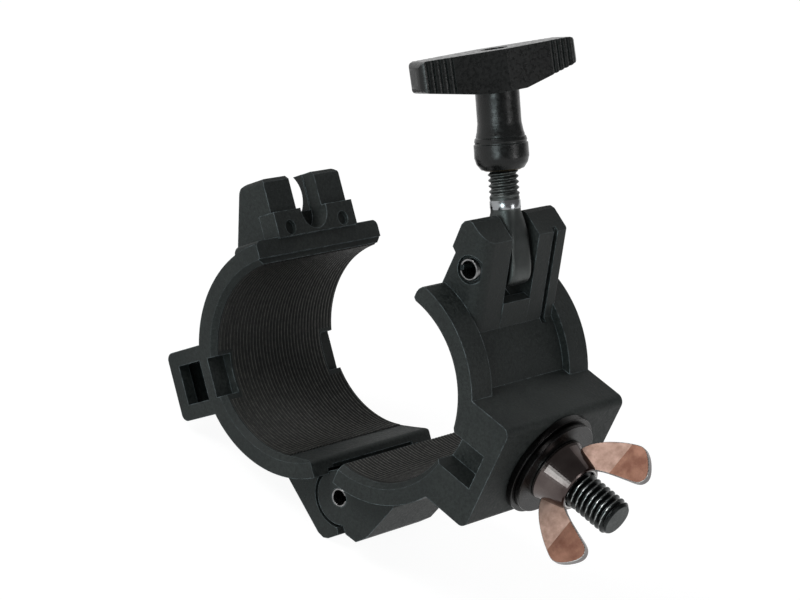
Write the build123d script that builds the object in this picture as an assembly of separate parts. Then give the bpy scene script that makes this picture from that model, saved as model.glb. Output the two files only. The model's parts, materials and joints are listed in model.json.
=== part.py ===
from build123d import *
import os
from math import cos, pi

# Pipe clamp with a hinged jaw, a swing bolt closed by a T-handle nut, and a mounting stud.
# Millimetres. The origin is the centre of the pipe at mid width of the fixed jaw.
# +Y runs along the pipe, +X out along the mounting stud, +Z up to the swing bolt clevis.
# The clamp is modelled open, with the swing bolt leaning over the open jaw.

# ---- pipe seat and jaw rings
BORE_R = 25.5
BORE_EDGE = 1.35
WIDTH = 48.3
RIM_WALL = 5.5
RIM_W = 8.0
BAND_WALL = 3.3
SPLIT_TOP = 0.4
SPLIT_LOW = 0.4
SPLIT_GAP = 1.0

# ---- hinge
HINGE_X = 0.3
HINGE_Z = -37.6
OPEN_ANGLE = 46.5
HINGE_PIN_R = 2.5
HINGE_HOLE_CLEAR = 0.06
EAR_R = 7.3
EAR_CLEAR = 0.8
KNUCKLE_R = 7.6
KNUCKLE_CLEAR = 0.5
HINGE_HALF = 18.0
KNUCKLE_Y0 = -4.2
KNUCKLE_Y1 = 7.8
AXIAL_CLEAR = 0.35

# ---- clevis on the fixed jaw
SWING_X = 6.8
SWING_Z = 38.0
SWING_PIN_R = 2.75
SWING_HOLE_CLEAR = 0.06
PIN_PROUD = 0.25
PIN_WALL = 0.55
PIN_SPLIT = 1.3
COUNTERBORE_R = 3.6
COUNTERBORE_DEPTH = 1.2
CLEVIS_GAP = 11.0
CLEVIS_TOP = 48.8
CLEVIS_FRONT = 46.3
EAR_OUT = (-16.15, 17.3)
EAR_ROUND = (4.0, 0.8)
EAR_GROOVE = (11.4, 13.2)

# ---- stud block and mounting stud
BLOCK_X = 40.5
BLOCK_LOW = -15.5
BLOCK_HIGH = 14.4
BLOCK_ROUND = 2.2
RECESS_H = 9.8
RECESS_Z = -0.6
RECESS_DEPTH = 7.0
RECESS_X = 36.9
STUD_R = 4.9
STUD_END = 65.0
STUD_CHAMFER = 0.8
STUD_GROOVE_W = 0.8
STUD_GROOVE_DEPTH = 0.5
HEAD_AF = 17.0
HEAD_H = 6.4
HEAD_X = 26.6
HEAD_CLEAR = 0.1

# ---- washers and wing nut
BACKING_R = 14.3
BACKING_T = 1.8
WASHER_R = 13.1
WASHER_T = 1.5
WASHER_CLEAR = 0.3
THREAD_CLEAR = 0.06
WING_ANGLE = 60.0
WING_T = 2.6
HUB_R = 8.8
HUB_TOP_R = 6.3
HUB_H = 8.6

# ---- outer lug of the hinged jaw
LUG_X = -42.0
LUG_LOW = -8.7
LUG_TOP = 10.0
LUG_ROUND = 2.0
LUG_SLOT = (-38.6, -30.6, -4.6, 6.0)
LUG_RIB = 3.0
LUG_SLOT_DEPTH = 3.6
LUG_CAVITY_DEPTH = 14.0
LUG_UNDERCUT = 1.4
BORE_NOTCH_DEPTH = 6.0

# ---- relieved lip of the hinged jaw beside the hinge
LIP_START = -8.5
LIP_LOW = -26.8
LIP_ROUND = 1.3

# ---- fork of the hinged jaw
FORK_HALF = 14.9
FORK_TOP = 47.5
FORK_SLOT = 9.3
FORK_FLOOR = 37.8
SEAT_X = -14.0
SEAT_Z = 42.8
SEAT_R = 7.5
SEAT_HALF = 11.4
SEAT_OPEN = 20.0
FORK_FACE = -1.0
LEDGE_FACE = -0.1
LEDGE_ROUND = 1.8
PLATE_HALF = 15.46
PLATE_TOP = 38.2
PLATE_FACE = 0.5
PLATE_BACK = -5.0
NOTCH_R = 4.97
NOTCH_Z = 37.2
DIMPLE_Y = 10.4
DIMPLE_Z = 33.6
DIMPLE_R = 1.9
DIMPLE_DEPTH = 1.0

# ---- swing bolt and T-handle, measured along the bolt from the swing pin
LEAN = 33.3
CLAMP_LEAN = 70.0
BOLT_R = 3.8
BOLT_END = 44.0
EYE_HALF = 4.2
EYE_T = 8.0
EYE_DROP = 1.8
EYE_TOP = 3.9
NECK_R = 4.9
NECK_END = 10.5
NUT_BASE = 23.2
NUT_NECK = 32.6
INSERT_R = 5.0
INSERT_END = 32.0
INSERT_CLEAR = 0.06
BAR_LOW = 42.5
BAR_END_LOW = (45.3, 46.5)
BAR_TOP = 52.9
BAR_HALF = 22.0
BAR_END_T = 8.0
BAR_HUB_T = 15.2
BAR_TURN = 65.0
BAR_TILT = 4.2
BAR_ROUND = 3.0
BAR_CORNER = 2.4
BAR_HOLE_R = 3.4
CAVITY_CLEAR = 0.25
CAVITY_END = 50.6
GRIP_COUNT = 5
GRIP_START = 1.7
GRIP_PITCH = 1.6
GRIP_W = 0.8
GRIP_DEPTH = 0.5

BAND_R = BORE_R + BAND_WALL
RIM_R = BORE_R + RIM_WALL
HALF = WIDTH / 2
RIM_IN = HALF - RIM_W
WASHER_X = BLOCK_X + BACKING_T
NUT_X = WASHER_X + WASHER_T
FAR = 80.0


def slab(points, y0, y1):
    """Outline in X and Z, extruded along Y from y0 to y1."""
    outline = Plane.XZ.offset(-y1) * make_face(Polyline(*points, close=True))
    return extrude(outline, y1 - y0)


def rod_y(x, z, r, y0, y1):
    return Pos(x, (y0 + y1) / 2, z) * Rot(90, 0, 0) * Cylinder(r, y1 - y0)


def rod_x(r, x0, x1):
    return Pos((x0 + x1) / 2, 0, 0) * Rot(0, 90, 0) * Cylinder(r, x1 - x0)


def block(x0, x1, y0, y1, z0, z1):
    middle = Pos((x0 + x1) / 2, (y0 + y1) / 2, (z0 + z1) / 2)
    return middle * Box(x1 - x0, y1 - y0, z1 - z0)


def turned(profile):
    """Closed outline of (radius, height) pairs, revolved about Z."""
    return revolve(Plane.XZ * make_face(Polyline(*profile, close=True)), Axis.Z)


def edge_cone(y_face, direction):
    """Cutter for the broken edge where the bore meets an end face."""
    reach = 0.5
    cone = Cone(BORE_R - reach, BORE_R + BORE_EDGE + reach, BORE_EDGE + 2 * reach)
    return Pos(0, y_face - direction * (BORE_EDGE / 2), 0) * Rot(-90 * direction, 0, 0) * cone


def jaw_ring():
    """Full ring with a raised rim at each end, before the bore is cut."""
    ring = rod_y(0, 0, BAND_R, -HALF, HALF)
    ring += rod_y(0, 0, RIM_R, -HALF, -RIM_IN)
    ring += rod_y(0, 0, RIM_R, RIM_IN, HALF)
    return ring


def rim_corner(x, side):
    """Cutter that rounds the outer corner of a rim where the jaw is split."""
    shape = [(-1, 2.0), (-1, -2.6), (0, -2.6), (0.3, -1.4), (1.0, -0.4), (2.6, 0.3), (2.6, 2.0)]
    outline = [(x + side * px, RIM_R + rise) for px, rise in shape]
    return slab(outline, -HALF - 1, -RIM_IN) + slab(outline, RIM_IN, HALF + 1)


def cut_bore(body):
    body -= rod_y(0, 0, BORE_R, -HALF - 1, HALF + 1)
    body -= edge_cone(-HALF, -1)
    body -= edge_cone(HALF, 1)
    return body


# ---- fixed jaw
def main_jaw():
    low = -HALF
    right = block(SPLIT_TOP, FAR, -FAR, FAR, 0, FAR) + block(SPLIT_LOW, FAR, -FAR, FAR, -FAR, 0)
    jaw = jaw_ring() & right
    jaw -= rim_corner(SPLIT_TOP, 1)

    # stud block
    stud_block = block(8, BLOCK_X, low, HALF, BLOCK_LOW, BLOCK_HIGH)
    corners = stud_block.edges().filter_by(Axis.Y).group_by(Axis.X)[-1]
    stud_block = fillet(corners, BLOCK_ROUND)
    jaw += stud_block

    # clevis ears
    ear = [
        (SPLIT_TOP + 0.8, 22), (SPLIT_TOP + 0.8, 39.4), (-0.3, 40.3), (-0.5, CLEVIS_TOP - 2.2),
        (0.0, CLEVIS_TOP - 0.9), (1.0, CLEVIS_TOP - 0.1), (2.4, CLEVIS_TOP), (8.4, CLEVIS_FRONT),
        (15.6, 23.4), (14, 16),
    ]
    half_gap = CLEVIS_GAP / 2
    for side, y_out, ear_round in zip((-1, 1), EAR_OUT, EAR_ROUND):
        y0, y1 = sorted((side * half_gap, y_out))
        lobe = slab(ear, y0, y1)
        outer = lobe.edges().filter_by_position(Axis.Y, y_out - 0.01, y_out + 0.01)
        front = outer.sort_by_distance(Vertex(12, y_out, 35))[0]
        jaw += fillet(front, ear_round)
    web = [(9.5, 24), (11.0, 30.6), (13.6, 30.6), (15.4, 24), (14, 16), (9.5, 16)]
    jaw += slab(web, -half_gap, half_gap)

    # groove down the front of the far ear
    groove = [(6.4, 49), (9.2, 49), (17.2, 23.6), (14.4, 23.6)]
    jaw -= slab(groove, *EAR_GROOVE)

    # hinge ears and the wall behind the knuckle
    lobe = [
        (SPLIT_LOW, -26), (SPLIT_LOW, -30.3), (-4.2, -31.8), (-6.9, -36.4), (HINGE_X, HINGE_Z), (4.72, -43.4),
        (6.6, -44.9), (10.4, -44.6), (12.8, -41.2), (16.2, -29.0), (14, -22),
    ]
    hinge = slab(lobe, -HINGE_HALF, KNUCKLE_Y1 + AXIAL_CLEAR)
    hinge += rod_y(HINGE_X, HINGE_Z, EAR_R, -HINGE_HALF, KNUCKLE_Y0 - AXIAL_CLEAR)
    back = [
        (SPLIT_LOW, -26), (SPLIT_LOW, -30.3), (-4.2, -31.8), (-6.9, -36.4), (HINGE_X, HINGE_Z),
        (7.6, -37), (12, -24),
    ]
    hinge += slab(back, KNUCKLE_Y1 + AXIAL_CLEAR, HINGE_HALF)
    hinge += rod_y(HINGE_X, HINGE_Z, EAR_R, KNUCKLE_Y1 + AXIAL_CLEAR, HINGE_HALF)
    pocket_r = KNUCKLE_R + KNUCKLE_CLEAR
    y0, y1 = KNUCKLE_Y0 - AXIAL_CLEAR, KNUCKLE_Y1 + AXIAL_CLEAR
    pocket = rod_y(HINGE_X, HINGE_Z, pocket_r, y0, y1)
    pocket += block(-FAR, HINGE_X, y0, y1, HINGE_Z - 12, HINGE_Z + pocket_r)
    hinge -= pocket
    jaw += hinge
    jaw -= pocket
    jaw -= rod_y(HINGE_X, HINGE_Z, HINGE_PIN_R, -HALF, HALF)

    # swing pin holes
    jaw -= rod_y(SWING_X, SWING_Z, SWING_PIN_R, -HALF, HALF)
    for side, y_out in zip((-1, 1), EAR_OUT):
        y0, y1 = sorted((y_out - side * COUNTERBORE_DEPTH, y_out + side))
        jaw -= rod_y(SWING_X, SWING_Z, COUNTERBORE_R, y0, y1)

    jaw = cut_bore(jaw)

    # recess in each end face of the block
    z0, z1 = RECESS_Z - RECESS_H / 2, RECESS_Z + RECESS_H / 2
    for side in (-1, 1):
        y0, y1 = sorted((side * (HALF - RECESS_DEPTH), side * (HALF + 1)))
        jaw -= block(BORE_R - 5, RECESS_X, y0, y1, z0, z1)

    # seat for the mounting bolt
    jaw -= rod_x(STUD_R, HEAD_X, BLOCK_X + 1)
    seat = RegularPolygon((HEAD_AF / 2 + HEAD_CLEAR) / cos(pi / 6), 6, rotation=30)
    jaw -= Pos(HEAD_X + HEAD_H, 0, 0) * Rot(0, -90, 0) * extrude(seat, 14)
    return jaw


# ---- hinged jaw, drawn closed and then swung open about the hinge
def hinged_jaw():
    top = SPLIT_TOP - SPLIT_GAP
    low = SPLIT_LOW - SPLIT_GAP
    left = block(-FAR, top, -FAR, FAR, 0, FAR) + block(-FAR, low, -FAR, FAR, -FAR, 0)
    jaw = jaw_ring() & left

    # outer lug
    lug = block(LUG_X, -20, -HALF, HALF, LUG_LOW, LUG_TOP)
    corners = lug.edges().filter_by(Axis.Y).group_by(Axis.X)[0]
    jaw += fillet(corners, LUG_ROUND)

    # fork: base, two ears and the stepped plate
    base = [(-20, 18), (-19.2, 22.8), (-16.0, 31.2), (-13.4, FORK_FLOOR), (FORK_FACE, FORK_FLOOR),
            (FORK_FACE, 24), (-8, 18)]
    jaw += slab(base, -FORK_HALF, FORK_HALF)
    ledge = [(-8.6, 29.0), (-8.0, 31.7), (LEDGE_FACE, 31.7), (LEDGE_FACE, 27), (-8, 27)]
    ledge = slab(ledge, -HALF, HALF)
    jaw += fillet(ledge.edges().filter_by(Axis.X).group_by(Axis.Z)[-1], LEDGE_ROUND)
    ears = [
        (-15.3, 33), (-10.4, 45.4), (-9.6, 46.9), (-8.0, FORK_TOP), (-2.0, FORK_TOP),
        (FORK_FACE, FORK_TOP - 1.0), (FORK_FACE, 33),
    ]
    for side in (-1, 1):
        y0, y1 = sorted((side * FORK_SLOT / 2, side * FORK_HALF))
        lobe = slab(ears, y0, y1)
        outer = lobe.edges().filter_by_position(Axis.Y, side * FORK_HALF - 0.01, side * FORK_HALF + 0.01)
        crown = outer.sort_by_distance(Vertex(-5, side * FORK_HALF, FORK_TOP))[0]
        jaw += fillet(crown, 1.8)
    jaw += block(PLATE_BACK, PLATE_FACE, -PLATE_HALF, PLATE_HALF, 31.3, PLATE_TOP)
    notch = rod_x(NOTCH_R, PLATE_BACK, PLATE_FACE + 1)
    jaw -= Pos(0, 0, NOTCH_Z) * notch
    jaw -= block(PLATE_BACK, PLATE_FACE + 1, -NOTCH_R, NOTCH_R, NOTCH_Z, FORK_TOP + 1)
    for side in (-1, 1):
        jaw -= Pos(0, side * DIMPLE_Y, DIMPLE_Z) * rod_x(DIMPLE_R, PLATE_FACE - DIMPLE_DEPTH, 2)

    # hollow seat for the foot of the T-handle at the back of the fork
    jaw -= rod_y(SEAT_X, SEAT_Z, SEAT_R, -SEAT_HALF, SEAT_HALF)
    outward = Pos(SEAT_X, 0, SEAT_Z) * Rot(0, -CLAMP_LEAN, 0)
    jaw -= outward * Pos(0, 0, SEAT_OPEN / 2) * Box(2 * SEAT_R, 2 * SEAT_HALF, SEAT_OPEN)

    # hinge side: two cheeks that clear the fixed ears, and the knuckle between them
    cheek = [
        (-17.5, -22.0), (-15.2, -30.4), (-9.9, -45.2), (-8.6, -46.8), (-7.0, -47.3), (-3.2, -47.0),
        (-2.9, -44.2), (HINGE_X, HINGE_Z), (-1.9, -31.0), (low, -28.0), (-8, -22.0),
    ]
    jaw += slab(cheek, -HINGE_HALF, HINGE_HALF)
    swept = EAR_R + EAR_CLEAR
    jaw -= rod_y(HINGE_X, HINGE_Z, swept, -HINGE_HALF - AXIAL_CLEAR, HINGE_HALF + AXIAL_CLEAR)
    knuckle = rod_y(HINGE_X, HINGE_Z, KNUCKLE_R, KNUCKLE_Y0, KNUCKLE_Y1)
    knuckle += slab([(-12, -31), (-2.2, -31), (HINGE_X, HINGE_Z), (-2, -44), (-10, -44)],
                    KNUCKLE_Y0, KNUCKLE_Y1)
    jaw += knuckle
    jaw -= rod_y(HINGE_X, HINGE_Z, HINGE_PIN_R + HINGE_HOLE_CLEAR, -HALF, HALF)

    jaw = cut_bore(jaw)
    lip = [(LIP_START, -24.0), (0, LIP_LOW), (0, -20), (LIP_START, -20)]
    jaw -= slab(lip, -HALF - 1, HALF + 1)
    nose = jaw.edges().filter_by(Axis.Y).sort_by_distance(Vertex(low, 0, LIP_LOW))[0]
    jaw = fillet(nose, LIP_ROUND)

    # slot in each end of the lug, hollowed behind its mouth, and the notch beside it at the bore
    x0, x1, z0, z1 = LUG_SLOT
    for side in (-1, 1):
        mouth, floor, notch = (side * (HALF - d) for d in (LUG_SLOT_DEPTH, LUG_CAVITY_DEPTH, BORE_NOTCH_DEPTH))
        outside = side * (HALF + 1)
        jaw -= block(x0, x1, *sorted((mouth, outside)), z0, z1)
        jaw -= block(x0 - LUG_UNDERCUT, x1, *sorted((mouth, floor)), z0, z1)
        jaw -= block(x1 + LUG_RIB, -20, *sorted((notch, outside)), z0, z1)

    to_hinge = Pos(HINGE_X, 0, HINGE_Z)
    return to_hinge * Rot(0, -OPEN_ANGLE, 0) * Pos(-HINGE_X, 0, -HINGE_Z) * jaw


def spring_pin(x, z, r, y0, y1, split_turn):
    """Rolled spring pin: a tube with a slit along one side."""
    length = y1 - y0
    pin = Cylinder(r, length) - Cylinder(r - PIN_WALL, length)
    pin -= Rot(0, 0, split_turn) * Pos(r, 0, 0) * Box(2 * r, PIN_SPLIT, length)
    return Pos(x, (y0 + y1) / 2, z) * Rot(90, 0, 0) * pin


# ---- mounting bolt
def mounting_bolt():
    hexagon = RegularPolygon(HEAD_AF / 2 / cos(pi / 6), 6, rotation=30)
    head = Pos(HEAD_X + HEAD_H, 0, 0) * Rot(0, -90, 0) * extrude(hexagon, HEAD_H)
    straight = rod_x(STUD_R, HEAD_X + HEAD_H, STUD_END - STUD_CHAMFER)
    cone = Cone(STUD_R, STUD_R - STUD_CHAMFER, STUD_CHAMFER)
    bolt = head + straight + Pos(STUD_END - STUD_CHAMFER / 2, 0, 0) * Rot(0, 90, 0) * cone

    # one ring as deep as the thread parts the free end from the length inside the nut
    ring = Cylinder(STUD_R, STUD_GROOVE_W) - Cylinder(STUD_R - STUD_GROOVE_DEPTH, STUD_GROOVE_W)
    return bolt - Pos(NUT_X + HUB_H + STUD_GROOVE_W / 2, 0, 0) * Rot(0, 90, 0) * ring


def washer(r, x0, thickness):
    return rod_x(r, x0, x0 + thickness) - rod_x(STUD_R + WASHER_CLEAR, x0 - 1, x0 + thickness + 1)


# ---- wing nut
def wing_nut():
    hub = turned([(0, 0), (HUB_R, 0), (HUB_R, 1.2), (HUB_R - 0.9, 3.2), (HUB_TOP_R, HUB_H), (0, HUB_H)])
    nut = Pos(NUT_X, 0, 0) * Rot(0, 90, 0) * hub
    wing = [
        (45.2, 5.0), (46.4, 9.2), (49.2, 12.6), (53.2, 15.6), (57.0, 17.6), (59.2, 18.0),
        (61.4, 16.8), (63.4, 14.7), (64.4, 13.0), (64.4, 11.4), (63.3, 9.9), (60.0, 8.9), (52.6, 6.4), (50.6, 4.0),
    ]
    for turn in (0, 180):
        blade = slab(wing, -WING_T / 2, WING_T / 2)
        nut += Rot(WING_ANGLE - 90 + turn, 0, 0) * blade
    return nut - rod_x(STUD_R + THREAD_CLEAR, NUT_X - 1, STUD_END)


# ---- swing bolt
def swing_bolt():
    shank = Pos(0, 0, (NECK_END + BOLT_END) / 2) * Cylinder(BOLT_R, BOLT_END - NECK_END)
    neck = Pos(0, 0, (EYE_TOP + NECK_END) / 2) * Cone(NECK_R, BOLT_R, NECK_END - EYE_TOP)
    plate = slab([(-EYE_HALF, -EYE_DROP), (EYE_HALF, -EYE_DROP), (EYE_HALF, EYE_TOP), (-EYE_HALF, EYE_TOP)],
                 -EYE_T / 2, EYE_T / 2)
    bolt = plate + rod_y(0, -EYE_DROP, EYE_HALF, -EYE_T / 2, EYE_T / 2) + neck + shank
    return bolt - rod_y(0, 0, SWING_PIN_R + SWING_HOLE_CLEAR, -EYE_T, EYE_T)


def handle_insert():
    bore_r = BOLT_R + THREAD_CLEAR
    return turned([
        (bore_r, NUT_BASE - 0.4), (INSERT_R - 0.6, NUT_BASE - 0.4), (INSERT_R, NUT_BASE),
        (INSERT_R, INSERT_END), (bore_r, INSERT_END),
    ])


# ---- T-handle
def t_handle():
    half_t = BAR_END_T / 2
    half_hub = BAR_HUB_T / 2
    plan = [(-BAR_HALF, -half_t), (0, -half_hub), (BAR_HALF, -half_t),
            (BAR_HALF, half_t), (0, half_hub), (-BAR_HALF, half_t)]
    bar = Pos(0, 0, BAR_LOW) * extrude(make_face(Polyline(*plan, close=True)), BAR_TOP - BAR_LOW)
    ends = bar.edges().filter_by(Axis.Z).sort_by(Axis.X)
    bar = fillet(ends[:2] + ends[-2:], BAR_ROUND)
    left_low, right_low = BAR_END_LOW
    side = [(-BAR_HALF, left_low), (-6, BAR_LOW), (5, BAR_LOW), (BAR_HALF, right_low),
            (BAR_HALF, BAR_TOP), (-BAR_HALF, BAR_TOP)]
    side = slab(side, -half_hub, half_hub)
    corners = side.edges().filter_by(Axis.Y).sort_by(Axis.X)
    bar &= fillet(corners[:2] + corners[-2:], BAR_CORNER)
    slope = (half_hub - half_t) / BAR_HALF
    for end in (-1, 1):
        for face in (-1, 1):
            for i in range(GRIP_COUNT):
                x = BAR_HALF - GRIP_START - i * GRIP_PITCH
                depth = half_t + (BAR_HALF - x) * slope
                rib = Box(GRIP_W, 2 * GRIP_DEPTH, BAR_TOP)
                bar -= Pos(end * x, face * depth, BAR_TOP / 2 + BAR_LOW) * rib
    bar = Rot(0, 0, BAR_TURN) * Pos(0, 0, BAR_LOW) * Rot(0, -BAR_TILT, 0) * Pos(0, 0, -BAR_LOW) * bar
    stem = turned([
        (0, NUT_BASE), (INSERT_R + 0.4, NUT_BASE), (6.4, NUT_BASE + 1.4), (6.85, NUT_BASE + 3.0),
        (6.8, NUT_BASE + 6.2), (6.5, NUT_BASE + 6.4), (6.5, NUT_BASE + 6.8), (6.6, NUT_BASE + 7.0),
        (6.4, NUT_BASE + 7.8), (6.1, NUT_BASE + 8.0), (6.1, NUT_BASE + 8.4), (5.8, NUT_NECK),
        (5.5, NUT_NECK + 2), (5.5, BAR_LOW + 1), (0, BAR_LOW + 1),
    ])
    handle = bar + stem
    seat_top = INSERT_END + INSERT_CLEAR
    handle -= Pos(0, 0, (NUT_BASE + seat_top) / 2) * Cylinder(INSERT_R + INSERT_CLEAR, seat_top - NUT_BASE)
    handle -= Pos(0, 0, (seat_top + CAVITY_END) / 2) * Cylinder(BOLT_R + CAVITY_CLEAR, CAVITY_END - seat_top)
    handle -= Pos(0, 0, BAR_TOP) * Cylinder(BAR_HOLE_R, 8)
    return handle


on_bolt = Pos(SWING_X, 0, SWING_Z) * Rot(0, -LEAN, 0)
nodes = {
    "main_jaw": main_jaw(),
    "hinged_jaw": hinged_jaw(),
    "hinge_pin": spring_pin(HINGE_X, HINGE_Z, HINGE_PIN_R, -HINGE_HALF, HINGE_HALF, 30),
    "swing_pin": spring_pin(
        SWING_X, SWING_Z, SWING_PIN_R, EAR_OUT[0] - PIN_PROUD, EAR_OUT[1] + PIN_PROUD, 200
    ),
    "mounting_bolt": mounting_bolt(),
    "backing_washer": washer(BACKING_R, BLOCK_X, BACKING_T),
    "flat_washer": washer(WASHER_R, WASHER_X, WASHER_T),
    "wing_nut": wing_nut(),
    "swing_bolt": on_bolt * swing_bolt(),
    "handle_insert": on_bolt * handle_insert(),
    "t_handle": on_bolt * t_handle(),
}

os.makedirs("parts", exist_ok=True)
for name, solid in nodes.items():
    count = len(solid.solids())
    print(name, "solids", count, "volume", round(solid.volume, 1))
    export_step(solid, f"parts/{name}.step")
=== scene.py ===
import bpy
import json
import math
from mathutils import Matrix, Vector

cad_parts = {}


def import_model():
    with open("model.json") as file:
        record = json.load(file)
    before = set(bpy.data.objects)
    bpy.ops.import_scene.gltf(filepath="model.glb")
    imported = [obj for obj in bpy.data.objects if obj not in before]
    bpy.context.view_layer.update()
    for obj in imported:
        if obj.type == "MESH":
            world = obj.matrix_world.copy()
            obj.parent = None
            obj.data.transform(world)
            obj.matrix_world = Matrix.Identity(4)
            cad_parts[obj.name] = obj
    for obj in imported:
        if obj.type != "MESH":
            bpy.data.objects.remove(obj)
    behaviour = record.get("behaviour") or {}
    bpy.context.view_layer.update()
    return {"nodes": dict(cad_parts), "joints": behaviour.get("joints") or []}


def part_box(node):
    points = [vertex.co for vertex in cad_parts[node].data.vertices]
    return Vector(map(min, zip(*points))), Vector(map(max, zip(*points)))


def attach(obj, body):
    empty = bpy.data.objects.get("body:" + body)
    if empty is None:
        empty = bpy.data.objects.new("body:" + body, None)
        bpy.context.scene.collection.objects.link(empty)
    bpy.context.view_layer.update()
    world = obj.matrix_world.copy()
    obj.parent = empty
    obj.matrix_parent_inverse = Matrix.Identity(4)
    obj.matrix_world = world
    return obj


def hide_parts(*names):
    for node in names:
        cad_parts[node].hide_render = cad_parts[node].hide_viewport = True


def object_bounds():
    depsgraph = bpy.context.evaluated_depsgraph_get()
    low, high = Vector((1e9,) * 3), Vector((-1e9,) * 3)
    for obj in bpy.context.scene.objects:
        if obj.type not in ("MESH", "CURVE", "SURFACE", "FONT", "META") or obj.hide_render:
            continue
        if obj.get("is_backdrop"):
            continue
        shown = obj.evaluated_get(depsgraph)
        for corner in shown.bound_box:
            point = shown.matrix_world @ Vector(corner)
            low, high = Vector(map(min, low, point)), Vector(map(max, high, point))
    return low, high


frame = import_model()

# Pipe clamp with a hinged jaw, a swing bolt with a T-handle, and a mounting stud.
# Lengths are in millimetres until a mesh is made, and MM turns them into metres.
MM = 0.001


def size_of(node):
    low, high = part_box(node)
    return low / MM, high / MM


def joint(name):
    return next(j for j in frame["joints"] if j["name"] == name)


# ---- sizes and places
BORE_R = 25.5
BORE_EDGE = 1.35
HALF_WIDTH = size_of("main_jaw")[1].y
OPEN_ANGLE = 46.5
HINGE = Vector(joint("jaw_hinge")["pos_m"]) / MM
SWING = Vector(joint("bolt_hinge")["pos_m"]) / MM
BOLT_AXIS = Vector(joint("handle_slide")["axis"]).normalized()
BOLT_END = 44.0
HEAD_X, STUD_END = size_of("mounting_bolt")[0].x, size_of("mounting_bolt")[1].x
NUT_X = size_of("wing_nut")[0].x

# ---- camera
CAMERA_PLACE = (0.3005875, -0.5137538, 0.3158358)
CAMERA_RIGHT = (0.682658, 0.636982, 0.358093)
CAMERA_UP = (-0.559552, 0.140494, 0.816800)
CAMERA_BACK = (0.469978, -0.757968, 0.452334)
CAMERA_LENS = 118.02


# ---- node materials
class Nodes:
    """A material's node tree, with short calls to add and link nodes."""

    def __init__(self, name):
        self.material = bpy.data.materials.new(name)
        self.material.use_nodes = True
        self.tree = self.material.node_tree
        self.shader = self.tree.nodes["Principled BSDF"]
        self.output = self.tree.nodes["Material Output"]
        self.place = self.add("ShaderNodeTexCoord").outputs["Object"]

    def add(self, kind, **values):
        node = self.tree.nodes.new(kind)
        for key, value in values.items():
            setattr(node, key, value)
        return node

    def link(self, source, target):
        self.tree.links.new(source, target)

    def set(self, **values):
        """Shader sockets by name, with spaces written as underscores."""
        for key, value in values.items():
            self.shader.inputs[key.replace("_", " ")].default_value = value

    def noise(self, scale, detail=2.0, rough=0.5):
        node = self.add("ShaderNodeTexNoise")
        node.inputs["Scale"].default_value = scale
        node.inputs["Detail"].default_value = detail
        node.inputs["Roughness"].default_value = rough
        self.link(self.place, node.inputs["Vector"])
        return node.outputs["Fac"]

    def spread(self, value, low, high, start=0.0, end=1.0):
        """Maps value from start..end to low..high."""
        node = self.add("ShaderNodeMapRange")
        for socket, number in zip(("From Min", "From Max", "To Min", "To Max"), (start, end, low, high)):
            node.inputs[socket].default_value = number
        self.link(value, node.inputs["Value"])
        return node.outputs["Result"]

    def blend(self, factor, dark, light):
        node = self.add("ShaderNodeMix", data_type="RGBA")
        self.link(factor, node.inputs["Factor"])
        for socket, colour in ((6, dark), (7, light)):
            if isinstance(colour, tuple):
                node.inputs[socket].default_value = (*colour, 1.0)
            else:
                self.link(colour, node.inputs[socket])
        return node.outputs[2]

    def bump(self, height, strength, distance, before=None):
        node = self.add("ShaderNodeBump")
        node.inputs["Strength"].default_value = strength
        node.inputs["Distance"].default_value = distance
        self.link(height, node.inputs["Height"])
        if before is not None:
            self.link(before, node.inputs["Normal"])
        return node.outputs["Normal"]

    def edge(self, radius, start=0.02, end=0.25):
        """1 on convex and concave edges within radius, 0 on open faces."""
        bevel = self.add("ShaderNodeBevel", samples=6)
        bevel.inputs["Radius"].default_value = radius
        normal = self.add("ShaderNodeNewGeometry").outputs["Normal"]
        dot = self.add("ShaderNodeVectorMath", operation="DOT_PRODUCT")
        self.link(bevel.outputs["Normal"], dot.inputs[0])
        self.link(normal, dot.inputs[1])
        return self.spread(dot.outputs["Value"], 1.0, 0.0, 1 - end, 1 - start)


def nylon():
    """Glass-filled nylon: nearly black, finely pebbled, paler along its edges, partly from wear and partly a
    painted edge highlight.
    """
    m = Nodes("nylon")
    grain = m.noise(1300, 3.0, 0.6)
    patches = m.noise(55, 3.0)
    fibres = m.noise(3600, 1.0)
    dull = m.blend(m.spread(patches, 0, 1, 0.35, 0.65), (0.0058, 0.0080, 0.0078), (0.0098, 0.0122, 0.0116))
    pale = m.blend(m.spread(patches, 0, 1, 0.35, 0.65), (0.0170, 0.0205, 0.0198), (0.0270, 0.0310, 0.0295))
    base = m.blend(m.spread(grain, 0, 1, 0.36, 0.64), dull, pale)
    flecks = m.spread(fibres, 0, 0.5, 0.62, 0.78)
    base = m.blend(flecks, base, (0.055, 0.062, 0.060))
    # Edges are painted paler: partly wear, partly a painted highlight where light would catch them.
    edge_wear_and_highlight_colour = m.blend(m.spread(m.noise(500, 3.0), 0, 1, 0.35, 0.65), (0.035, 0.044, 0.046), (0.16, 0.19, 0.20))
    wear_and_edge_highlight = m.blend(m.edge(0.0005), base, edge_wear_and_highlight_colour)
    m.link(wear_and_edge_highlight, m.shader.inputs["Base Color"])
    m.link(m.spread(grain, 0.5, 0.74, 0.3, 0.7), m.shader.inputs["Roughness"])
    m.set(Specular_IOR_Level=0.24)
    pebbles = m.bump(grain, 0.7, 0.00012)
    m.link(m.bump(m.noise(260, 2.0), 0.18, 0.0003, pebbles), m.shader.inputs["Normal"])
    return m.material


def bore_nylon(name, dark, light):
    """The same moulding inside the pipe seat, browner and a little duller."""
    m = Nodes(name)
    grain = m.noise(1300, 2.0)
    base = m.blend(m.spread(m.noise(900, 3.0), 0, 1, 0.35, 0.65), dark, light)
    m.link(base, m.shader.inputs["Base Color"])
    m.link(m.spread(grain, 0.42, 0.6, 0.3, 0.7), m.shader.inputs["Roughness"])
    m.set(Specular_IOR_Level=0.3)
    m.link(m.bump(grain, 0.2, 0.0001), m.shader.inputs["Normal"])
    return m.material


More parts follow.
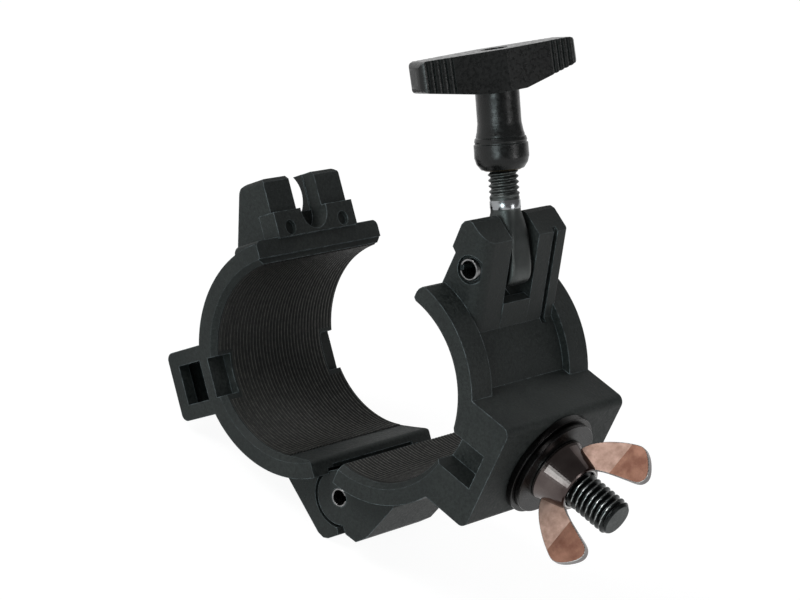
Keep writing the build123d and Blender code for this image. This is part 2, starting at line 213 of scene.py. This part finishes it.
def handle_plastic():
    """Glossier black moulding of the T-handle, paler along its edges, partly from wear and partly a painted
    edge highlight.
    """
    m = Nodes("handle_plastic")
    speckle = m.noise(1100, 3.0, 0.6)
    patches = m.spread(m.noise(70, 3.0), 0, 1, 0.35, 0.65)
    base = m.blend(patches, (0.0030, 0.0034, 0.0033), (0.0062, 0.0068, 0.0067))
    # Edges are painted paler: partly wear, partly a painted highlight.
    wear_and_edge_highlight = m.blend(m.edge(0.0004), base, (0.030, 0.035, 0.034))
    m.link(wear_and_edge_highlight, m.shader.inputs["Base Color"])
    m.link(m.spread(speckle, 0.2, 0.4, 0.35, 0.65), m.shader.inputs["Roughness"])
    m.set(Specular_IOR_Level=0.28)
    m.link(m.bump(speckle, 0.32, 0.0001), m.shader.inputs["Normal"])
    return m.material


def metal(name, dark, light, rough, patch=90, scratch=0.12, edge_highlight_colour=None):
    """A metal whose finish wanders between two colours, with fine scratches and, where an edge colour is
    given, a painted highlight along its edges.
    """
    m = Nodes(name)
    colour = m.blend(m.spread(m.noise(patch, 4.0, 0.6), 0, 1, 0.35, 0.65), dark, light)
    # Painted highlight along the edges.
    if edge_highlight_colour:
        colour = m.blend(m.edge(0.0003), colour, edge_highlight_colour)
    m.link(colour, m.shader.inputs["Base Color"])
    fine = m.noise(2600, 2.0)
    m.link(m.spread(fine, rough[0], rough[1], 0.3, 0.7), m.shader.inputs["Roughness"])
    m.set(Metallic=1.0)
    m.link(m.bump(fine, scratch, 0.00005), m.shader.inputs["Normal"])
    return m.material


NYLON = nylon()
BORE = bore_nylon("bore_nylon", (0.0085, 0.0085, 0.0078), (0.017, 0.0168, 0.0155))
# The rib crests get a paler copy of the seat's moulding: a painted highlight.
RIB_CREST_HIGHLIGHT = bore_nylon("rib_crest_highlight", (0.030, 0.030, 0.027), (0.085, 0.084, 0.074))
HANDLE = handle_plastic()
PIN_STEEL = metal("pin_steel", (0.10, 0.10, 0.10), (0.3, 0.3, 0.3), (0.2, 0.35), patch=500)
STUD_STEEL = metal("stud_steel", (0.012, 0.013, 0.013), (0.030, 0.033, 0.033), (0.28, 0.42))
# The thread's crest faces are painted brighter than the dark steel of the flanks and roots: a painted
# highlight.
STUD_CREST_HIGHLIGHT = metal("stud_crest_highlight", (0.14, 0.15, 0.15), (0.34, 0.36, 0.355), (0.2, 0.34), patch=900)
STUD_TIP = metal("stud_tip", (0.030, 0.034, 0.034), (0.060, 0.065, 0.064), (0.4, 0.55), patch=400)
# The washers' pale edge colour is a painted highlight.
WASHER_STEEL = metal("washer_steel", (0.007, 0.0065, 0.0065), (0.018, 0.017, 0.0165), (0.25, 0.4),
                     edge_highlight_colour=(0.16, 0.16, 0.16))
ZINC = metal("zinc_steel", (0.045, 0.050, 0.049), (0.075, 0.081, 0.079), (0.38, 0.52))
ZINC_BRIGHT = metal("zinc_bright", (0.22, 0.23, 0.24), (0.3, 0.31, 0.32), (0.16, 0.26))
HUB_COPPER = metal("hub_copper", (0.060, 0.047, 0.045), (0.115, 0.095, 0.09), (0.12, 0.22))
COPPER = metal("copper", (0.22, 0.138, 0.108), (0.34, 0.226, 0.185), (0.34, 0.48), patch=420, scratch=0.3)
# The outer facet of each wing gets this darker copy of the copper: painted shade.
COPPER_SHADED = metal("copper_painted_shade", (0.11, 0.052, 0.036), (0.185, 0.098, 0.070), (0.34, 0.46),
                    patch=240, scratch=0.2)
COPPER_RIM = metal("copper_rim", (0.08, 0.072, 0.070), (0.17, 0.153, 0.146), (0.25, 0.4))
# Pale grey on the wings' bevelled edges: a painted highlight.
SILVER_RIM_HIGHLIGHT = metal("silver_rim_highlight", (0.30, 0.30, 0.295), (0.42, 0.42, 0.41), (0.22, 0.34))
BRASS = metal("insert_brass", (0.045, 0.033, 0.018), (0.09, 0.068, 0.036), (0.3, 0.45))


# ---- meshes
def make(name, points, faces, materials, face_material=None, smooth=35.0):
    """A mesh object from points in millimetres."""
    mesh = bpy.data.meshes.new(name)
    mesh.from_pydata([Vector(p) * MM for p in points], [], faces)
    for material in materials:
        mesh.materials.append(material)
    if face_material:
        mesh.polygons.foreach_set("material_index", face_material)
    mesh.validate()
    mesh.shade_smooth()
    mesh.set_sharp_from_angle(angle=math.radians(smooth))
    piece = bpy.data.objects.new(name, mesh)
    bpy.context.scene.collection.objects.link(piece)
    return piece


def stack(rings, caps=True):
    """Faces that join rings of equally many points, given as rows of indices."""
    faces = []
    for low, high in zip(rings, rings[1:]):
        count = len(low)
        for i in range(count):
            j = (i + 1) % count
            faces.append((low[i], low[j], high[j], high[i]))
    if caps:
        faces.append(tuple(reversed(rings[0])))
        faces.append(tuple(rings[-1]))
    return faces


def on_bolt(x, y, z):
    """A point given across, along Y and along the swing bolt, measured from its pin."""
    across = Vector((BOLT_AXIS.z, 0, -BOLT_AXIS.x))
    return SWING + across * x + Vector((0, y, 0)) + BOLT_AXIS * z


def on_stud(across, up, along):
    return Vector((along, across, up))


def thread_radius(turn, along, pitch, crest, root, clearance=0.16):
    """Radius of a right-hand thread, with flat crests and roots of that share of its pitch."""
    phase = (along / pitch - turn) % 1.0
    slope = abs(2 * phase - 1)
    share = min(max((slope - clearance) / (1 - 2 * clearance), 0.0), 1.0)
    return root + (crest - root) * share


def finish_cad(name, material, bevel, segments=3, angle=28):
    """Softens a CAD node's edges with modifiers and gives it its material."""
    node = frame["nodes"][name]
    node.material_slots[0].material = material
    weld = node.modifiers.new("weld", "WELD")
    weld.merge_threshold = 0.002 * MM
    flat = node.modifiers.new("flat", "DECIMATE")
    flat.decimate_type = "DISSOLVE"
    flat.angle_limit = math.radians(0.5)
    edges = node.modifiers.new("edges", "BEVEL")
    edges.width = bevel * MM
    edges.segments = segments
    edges.limit_method = "ANGLE"
    edges.angle_limit = math.radians(angle)
    edges.miter_outer = "MITER_ARC"
    normals = node.modifiers.new("normals", "WEIGHTED_NORMAL")
    normals.keep_sharp = True
    normals.weight = 80


# ---- ribs moulded round the pipe seat
RIB_PITCH = 1.25
RIB_FOOT = 0.55
RIB_HEIGHT = 0.36
RIB_BURIED = 0.5
RIB_STEP = math.radians(3)
RIB_CROWN = 0.12
POCKET_HALF_Y = 10.2
POCKET_HALF_Z = 9.2
RECESS_FROM = 16.4
RECESS_Z = (-6.2, 5.0)
NOTCH_FROM = 17.4
NOTCH_Z = (-5.3, 6.7)
FIXED_RIBS = (math.radians(-88.6), math.radians(88.0))
HINGED_RIBS = (math.radians(92.4), math.radians(250.4))


def ribs(name, body, start, end, gaps, swing):
    """Ribs along the seat from angle start to end about Y; gaps(y, z) is True where the seat is cut away."""
    points, faces, from_seat = [], [], []
    half = HALF_WIDTH - BORE_EDGE - RIB_FOOT
    count = int(2 * half / RIB_PITCH)
    steps = round((end - start) / RIB_STEP)
    section = [(-RIB_FOOT, -RIB_BURIED), (-RIB_FOOT, 0), (-RIB_CROWN, RIB_HEIGHT), (RIB_CROWN, RIB_HEIGHT),
               (RIB_FOOT, 0), (RIB_FOOT, -RIB_BURIED)]
    for i in range(count + 1):
        y = (i - count / 2) * RIB_PITCH
        rings = []
        for k in range(steps + 1):
            angle = start + (end - start) * k / steps
            open_here = gaps(y, BORE_R * math.sin(angle))
            if not open_here:
                ring = []
                for dy, height in section:
                    r = BORE_R - height
                    ring.append(len(points))
                    points.append(Vector((r * math.cos(angle), y + dy, r * math.sin(angle))))
                    from_seat.append(r)
                rings.append(ring)
            if (open_here or k == steps) and rings:
                if len(rings) > 1:
                    faces += stack(rings)
                rings = []
    if swing:
        turn = Matrix.Rotation(-math.radians(swing), 4, "Y")
        points = [turn @ (p - HINGE) + HINGE for p in points]
    # Faces on the rib crests take the painted highlight material.
    high = BORE_R - RIB_HEIGHT / 2
    marks = [int(all(from_seat[i] < high for i in face)) for face in faces]
    piece = make(name, points, faces, [BORE, RIB_CREST_HIGHLIGHT], marks, smooth=50)
    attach(piece, body)


def fixed_gaps(y, z):
    """Where the bolt's head pocket and the end recesses open into the fixed jaw's seat."""
    in_head_pocket = abs(y) < POCKET_HALF_Y and abs(z) < POCKET_HALF_Z
    in_recess = abs(y) > RECESS_FROM and RECESS_Z[0] < z < RECESS_Z[1]
    return in_head_pocket or in_recess


def swing_gaps(y, z):
    """Where the end notches open into the hinged jaw's seat."""
    return abs(y) > NOTCH_FROM and NOTCH_Z[0] < z < NOTCH_Z[1]


# ---- mounting bolt with its cut thread
STUD_R = 4.9
STUD_ROOT = 4.02
STUD_PITCH = 1.6
STUD_TIP_R = 4.05
STUD_TIP_LENGTH = 1.1
CREST_DEPTH = 0.12
HEAD_H = 6.4
HEAD_AF = 17.0
HEAD_CHAMFER = 0.9


def on_axis(point):
    """Distance of a point from the stud's axis."""
    return math.hypot(point.y, point.z)


def mounting_bolt():
    around, per_pitch = 72, 14
    start = HEAD_X + HEAD_H
    rows = round((STUD_END - start) / STUD_PITCH * per_pitch)
    points, rings = [], []

    def ring(radius_at, x):
        row = []
        for i in range(around):
            turn = i / around
            r = radius_at(turn)
            row.append(len(points))
            points.append(on_stud(r * math.cos(2 * math.pi * turn), r * math.sin(2 * math.pi * turn), x))
        rings.append(row)

    flat_r = HEAD_AF / 2

    def hexagon(turn):
        return flat_r / math.cos((2 * math.pi * turn) % (math.pi / 3) - math.pi / 6)

    ring(lambda t: min(hexagon(t), flat_r - 0.3), HEAD_X)
    ring(lambda t: min(hexagon(t), flat_r + 0.1), HEAD_X + 0.25)
    ring(hexagon, HEAD_X + HEAD_CHAMFER)
    ring(hexagon, start)
    for k in range(rows + 1):
        x = start + (STUD_END - start) * k / rows
        limit = STUD_TIP_R + (STUD_R - STUD_TIP_R) * min(1.0, (STUD_END - x) / STUD_TIP_LENGTH)
        ring(lambda t: min(limit, thread_radius(t, x, STUD_PITCH, STUD_R, STUD_ROOT)), x)
    ring(lambda t: STUD_TIP_R - 0.35, STUD_END)
    faces = stack(rings)
    # Faces on the thread crest take the painted highlight material.
    crest = STUD_R - CREST_DEPTH
    face_material = [int(min(on_axis(points[i]) for i in face) > crest) for face in faces]
    tip_faces = 2 * around
    head_cap = len(faces) - 2
    face_material[head_cap - tip_faces:] = [2] * (tip_faces + 2)
    face_material[head_cap] = 0
    finishes = [STUD_STEEL, STUD_CREST_HIGHLIGHT, STUD_TIP]
    piece = make("stud_with_thread", points, faces, finishes, face_material, smooth=40)
    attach(piece, "fixed_jaw")
    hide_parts("mounting_bolt")


# ---- swing bolt: thread, bright ring, flattened blade
SHANK_R = 3.8
SHANK_ROOT = 3.22
SHANK_PITCH = 1.4
RING_LOW = 13.4
RING_LIFT = 0.08
UNDERCUT = 0.12
THREAD_LOW = 16.0
BLADE_HALF = 4.2
BLADE_T = 8.0


def blade_ring(share, r_round, half_x, half_y, around):
    """Outline between a circle (share 0) and a soft rectangle (share 1)."""
    power = 2 + 8 * share
    out = []
    for i in range(around):
        angle = 2 * math.pi * i / around
        c, s = math.cos(angle), math.sin(angle)
        soft = (abs(c) ** power + abs(s) ** power) ** (-1 / power)
        rx = r_round + (half_x - r_round) * share
        ry = r_round + (half_y - r_round) * share
        out.append((rx * c * soft, ry * s * soft))
    return out


def swing_bolt():
    around, per_pitch = 64, 12
    points, rings = [], []

    def ring(outline, z):
        rings.append(list(range(len(points), len(points) + around)))
        points.extend(on_bolt(x, y, z) for x, y in outline)

    def circle(radius_at):
        turns = [i / around for i in range(around)]
        return [(radius_at(t) * math.cos(2 * math.pi * t), radius_at(t) * math.sin(2 * math.pi * t))
                for t in turns]

    blade = [
        (1.0, 1.2, -5.95), (1.0, 2.5, -5.45), (1.0, 3.5, -4.4), (1.0, 4.0, -3.0), (1.0, BLADE_HALF, -1.0),
        (1.0, BLADE_HALF, 3.2), (0.85, 4.25, 4.0), (0.55, 4.35, 5.2), (0.3, 4.15, 7.4), (0.12, 3.95, 10.0),
        (0.0, SHANK_R, 12.6),
    ]
    for share, half_x, z in blade:
        round_r = SHANK_R + 0.55 * math.sin(math.pi * min(share * 1.4, 1.0)) * (z > 3.2)
        ring(blade_ring(share, round_r, half_x, BLADE_T / 2, around), z)
    blade_faces = len(rings) * around
    ring(circle(lambda t: SHANK_R), RING_LOW - 0.15)
    ring(circle(lambda t: SHANK_R + RING_LIFT), RING_LOW + 0.1)
    ring(circle(lambda t: SHANK_R + RING_LIFT), THREAD_LOW - 0.9)
    ring(circle(lambda t: SHANK_R - UNDERCUT), THREAD_LOW - 0.5)
    ring_faces = (len(rings) - 1) * around
    rows = round((BOLT_END - THREAD_LOW) / SHANK_PITCH * per_pitch)
    for k in range(rows + 1):
        z = THREAD_LOW + (BOLT_END - THREAD_LOW) * k / rows
        fade = min(1.0, (z - THREAD_LOW) / 1.6)
        end = min(1.0, (BOLT_END - z) / 0.8)
        root = SHANK_R - UNDERCUT + (SHANK_ROOT - SHANK_R + UNDERCUT) * fade
        limit = SHANK_ROOT + (SHANK_R - SHANK_ROOT) * end
        ring(circle(lambda t: min(limit, thread_radius(t, z, SHANK_PITCH, SHANK_R, root))), z)
    faces = stack(rings)
    bright = range(blade_faces, ring_faces)
    face_material = [1 if i in bright else 0 for i in range(len(faces))]
    piece = make("swing_bolt_with_thread", points, faces, [ZINC, ZINC_BRIGHT], face_material, smooth=38)
    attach(piece, "bolt")
    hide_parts("swing_bolt")


# ---- wing nut
HUB_PROFILE = [
    (5.1, 0.0), (8.6, 0.0), (8.8, 0.25), (8.75, 0.8), (8.45, 1.4), (8.1, 2.4), (7.75, 3.6), (7.4, 5.0),
    (7.0, 6.4), (6.65, 7.6), (6.45, 8.2), (6.05, 8.5), (5.5, 8.6), (5.15, 8.35), (5.1, 7.8),
]
WING_TURN = 60.0
WING_OUTLINE = [
    (45.2, 5.0), (46.4, 9.2), (49.2, 12.6), (53.2, 15.6), (57.0, 17.6), (59.2, 18.0),
    (61.4, 16.8), (63.4, 14.7), (64.4, 13.0), (64.4, 11.4), (63.3, 9.9), (60.0, 8.9),
    (52.6, 6.4), (50.6, 4.0),
]
FOLD_X = 55.7
FOLD_HALF = 0.5
WING_HALF = 1.3
INNER_SLOPE = 0.09
OUTER_SLOPE = 0.14
WING_BEVEL = 0.22


def rounded(outline, rounds=2):
    """The closed outline with its corners cut a few times, so that it runs smoothly."""
    for _ in range(rounds):
        cut = []
        for (ax, ay), (bx, by) in zip(outline, outline[1:] + outline[:1]):
            for near, far in ((0.75, 0.25), (0.25, 0.75)):
                cut.append((near * ax + far * bx, near * ay + far * by))
        outline = cut
    return outline


def split_at_fold(outline):
    """The outline with a point added wherever it crosses the fold."""
    full = []
    for a, b in zip(outline, outline[1:] + outline[:1]):
        full.append(a)
        if (a[0] - FOLD_X) * (b[0] - FOLD_X) < 0:
            share = (FOLD_X - a[0]) / (b[0] - a[0])
            full.append((FOLD_X, a[1] + (b[1] - a[1]) * share))
    return full


def wing(turn):
    """One wing: a plate with a flat facet each side of its fold, thicker at its root and its tip."""
    outline = split_at_fold(rounded(WING_OUTLINE))
    angle = math.radians(WING_TURN + turn - 90)
    side, up = Vector((0, math.cos(angle), math.sin(angle))), Vector((0, -math.sin(angle), math.cos(angle)))
    points, faces, marks = [], [], []
    count = len(outline)
    for face in (1, -1):
        for x, w in outline:
            slope = OUTER_SLOPE if x > FOLD_X else INNER_SLOPE
            half = min(WING_HALF, FOLD_HALF + slope * abs(x - FOLD_X))
            points.append(Vector((x, 0, 0)) + up * w + side * (face * half))
        shift = 0 if face > 0 else count
        inner = [i + shift for i, (x, w) in enumerate(outline) if x <= FOLD_X]
        outer = [i + shift for i, (x, w) in enumerate(outline) if x >= FOLD_X]
        # Mark 2, the outer facet, takes the painted shade copy of the copper.
        for facet, mark in ((inner, 1), (outer, 2)):
            faces.append(facet if face < 0 else facet[::-1])
            marks.append(mark)
    for i in range(count):
        j = (i + 1) % count
        faces.append((i, j, j + count, i + count))
        marks.append(3)
    return points, faces, marks


def wing_nut():
    around = 72
    points, rings = [], []
    for r, x in HUB_PROFILE:
        rings.append(list(range(len(points), len(points) + around)))
        for i in range(around):
            angle = 2 * math.pi * i / around
            points.append(on_stud(r * math.cos(angle), r * math.sin(angle), NUT_X + x))
    rings.append(rings[0])
    faces = stack(rings, caps=False)
    marks = [0] * len(faces)
    for turn in (0, 180):
        more, quads, kinds = wing(turn)
        shift = len(points)
        points += more
        faces += [tuple(i + shift for i in quad) for quad in quads]
        marks += kinds
    finishes = [HUB_COPPER, COPPER, COPPER_SHADED, COPPER_RIM, SILVER_RIM_HIGHLIGHT]
    piece = make("wing_nut_pressed", points, faces, finishes, marks, smooth=3)
    edges = piece.modifiers.new("edges", "BEVEL")
    edges.width = WING_BEVEL * MM
    edges.segments = 2
    edges.limit_method = "ANGLE"
    edges.angle_limit = math.radians(40)
    # The bevel faces take the painted highlight.
    edges.material = finishes.index(SILVER_RIM_HIGHLIGHT)
    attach(piece, "wing")
    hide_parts("wing_nut")


# ---- floor, lights and camera
FLOOR_COLOUR = 0.14
FLOOR_GLOW = 0.93
WORLD_LIGHT = 0.22
WALL_TOP = 0.12
WALL_FADE = 0.2


def shown_ray(tree):
    """1 for camera, glossy and transmission rays, 0 for the light that reaches surfaces."""
    path = tree.nodes.new("ShaderNodeLightPath")
    total = path.outputs["Is Camera Ray"]
    for name in ("Is Glossy Ray", "Is Transmission Ray"):
        most = tree.nodes.new("ShaderNodeMath")
        most.operation = "MAXIMUM"
        tree.links.new(total, most.inputs[0])
        tree.links.new(path.outputs[name], most.inputs[1])
        total = most.outputs[0]
    return total


def floor():
    """White floor that keeps a faint shadow of the object."""
    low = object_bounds()[0].z
    mesh = bpy.data.meshes.new("floor")
    reach = 6.0
    mesh.from_pydata([(-reach, -reach, low), (reach, -reach, low), (reach, reach, low), (-reach, reach, low)],
                     [], [(0, 1, 2, 3)])
    sheet = bpy.data.objects.new("floor", mesh)
    bpy.context.scene.collection.objects.link(sheet)
    m = Nodes("floor_white")
    m.set(Roughness=1.0, Specular_IOR_Level=0.0)
    m.shader.inputs["Base Color"].default_value = (FLOOR_COLOUR, FLOOR_COLOUR, FLOOR_COLOUR, 1)
    glow = m.add("ShaderNodeEmission")
    glow.inputs["Strength"].default_value = FLOOR_GLOW
    both = m.add("ShaderNodeAddShader")
    seen = m.add("ShaderNodeMixShader")
    m.link(m.shader.outputs["BSDF"], both.inputs[0])
    m.link(glow.outputs["Emission"], both.inputs[1])
    m.link(shown_ray(m.tree), seen.inputs["Fac"])
    m.link(m.shader.outputs["BSDF"], seen.inputs[1])
    m.link(both.outputs["Shader"], seen.inputs[2])
    m.link(seen.outputs["Shader"], m.output.inputs["Surface"])
    mesh.materials.append(m.material)
    sheet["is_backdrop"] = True


def world():
    """A white wall low round the horizon under a plain soft grey."""
    w = bpy.data.worlds.new("studio")
    bpy.context.scene.world = w
    w.use_nodes = True
    tree = w.node_tree
    back = tree.nodes["Background"]
    direction = tree.nodes.new("ShaderNodeTexCoord")
    parts = tree.nodes.new("ShaderNodeSeparateXYZ")
    level = tree.nodes.new("ShaderNodeMapRange")
    level.inputs["From Min"].default_value = WALL_TOP
    level.inputs["From Max"].default_value = WALL_FADE
    level.inputs["To Min"].default_value = 1.0
    level.inputs["To Max"].default_value = WORLD_LIGHT
    tree.links.new(direction.outputs["Generated"], parts.inputs["Vector"])
    tree.links.new(parts.outputs["Z"], level.inputs["Value"])
    tree.links.new(level.outputs["Result"], back.inputs["Strength"])
    back.inputs["Color"].default_value = (1, 1, 1, 1)


def lamp(name, place, size, power, colour=(1, 1, 1)):
    """A square soft box at place, aimed at the clamp."""
    light = bpy.data.lights.new(name, "AREA")
    light.shape = "SQUARE"
    light.size = size
    light.energy = power
    light.color = colour
    holder = bpy.data.objects.new(name, light)
    holder.location = place
    holder.rotation_euler = (-Vector(place)).to_track_quat("-Z", "Y").to_euler()
    bpy.context.scene.collection.objects.link(holder)


def camera():
    seat = bpy.data.cameras.new("camera")
    seat.lens = CAMERA_LENS
    seat.sensor_width = 36.0
    seat.clip_start = 0.01
    view = bpy.data.objects.new("camera", seat)
    columns = (CAMERA_RIGHT, CAMERA_UP, CAMERA_BACK, CAMERA_PLACE)
    view.matrix_world = Matrix([[c[row] for c in columns] for row in range(3)] + [[0, 0, 0, 1]])
    bpy.context.scene.collection.objects.link(view)
    bpy.context.scene.camera = view


# ---- the clamp
finish_cad("main_jaw", NYLON, 0.45)
finish_cad("hinged_jaw", NYLON, 0.45)
finish_cad("t_handle", HANDLE, 0.3, angle=32)
finish_cad("hinge_pin", PIN_STEEL, 0.25)
finish_cad("swing_pin", PIN_STEEL, 0.25)
finish_cad("backing_washer", WASHER_STEEL, 0.2)
finish_cad("flat_washer", WASHER_STEEL, 0.2)
finish_cad("handle_insert", BRASS, 0.1)
ribs("seat_ribs_fixed", "fixed_jaw", *FIXED_RIBS, fixed_gaps, 0)
ribs("seat_ribs_hinged", "opening_jaw", *HINGED_RIBS, swing_gaps, OPEN_ANGLE)
mounting_bolt()
swing_bolt()
wing_nut()

floor()
world()
lamp("key", (-0.55, -0.85, 0.85), 0.55, 9)
lamp("front", (0.25, -1.1, 0.25), 0.45, 4, (0.84, 1.0, 1.02))
lamp("right", (0.95, 0.1, 0.45), 0.35, 2)
lamp("back", (-0.3, 0.9, 0.7), 0.8, 1.2)
camera()
bpy.context.scene.view_settings.view_transform = "Standard"

bpy.context.view_layer.update()
